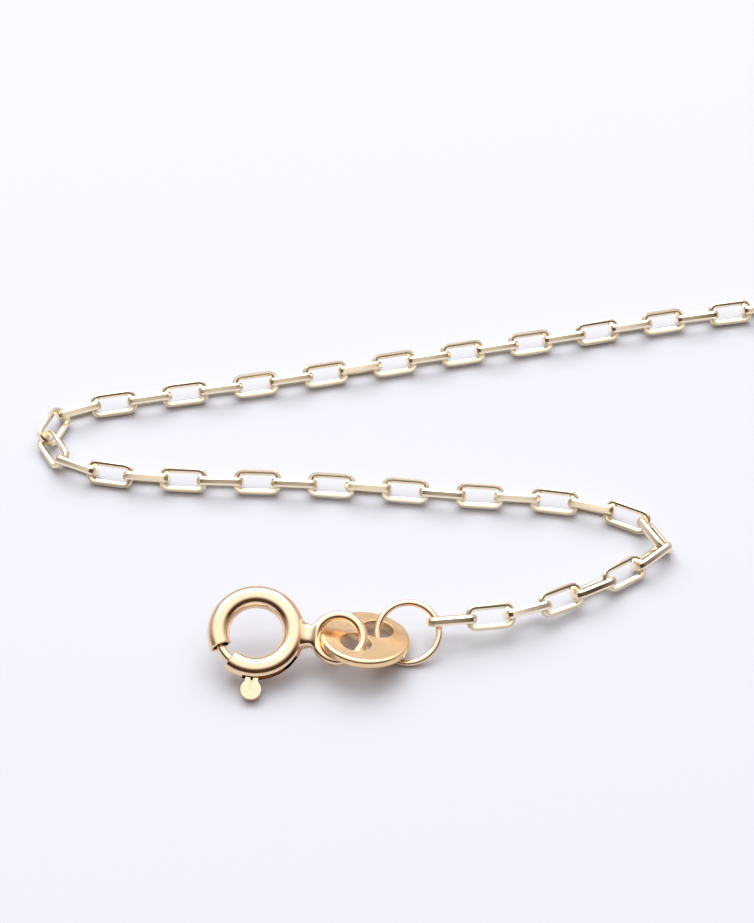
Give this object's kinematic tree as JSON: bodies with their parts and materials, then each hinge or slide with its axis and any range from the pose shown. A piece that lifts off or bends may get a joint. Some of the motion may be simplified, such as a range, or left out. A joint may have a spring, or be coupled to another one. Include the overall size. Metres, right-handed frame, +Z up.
{
  "type": "gold chain",
  "caption": "Fine gold cable necklace with faceted oblong links, a bolt ring clasp, an oval tag and plain end rings, laid open on a surface.",
  "frame": {"origin": "on the surface, under the middle of the laid necklace's box", "axes": "+Z up, +Y away from the viewer of the picture, +X to the viewer's right"},
  "size_m": [0.119, 0.1138, 0.0037],
  "materials": {
    "clasp_gold": "polished yellow gold",
    "tag_gold": "satin yellow gold",
    "chain_gold": "polished pale gold, diamond cut"
  },
  "bodies": {
    "necklace": {"bolt_ring": "clasp_gold", "tag": "tag_gold", "jump_ring": "clasp_gold", "chain_front": "chain_gold", "chain_back": "chain_gold", "end_ring": "clasp_gold"},
    "bolt": {"bolt": "clasp_gold"}
  },
  "joints": [
    {"name": "bolt_slide", "type": "hinge", "parent": "necklace", "child": "bolt", "pos_m": [-0.044, 0.02222, 0.00205], "axis": [0.0262, -0.4066, 0.9132], "range_deg": [0, 50], "stiffness_Nm_per_rad": 0.004, "springref_deg": -17.19}
  ]
}
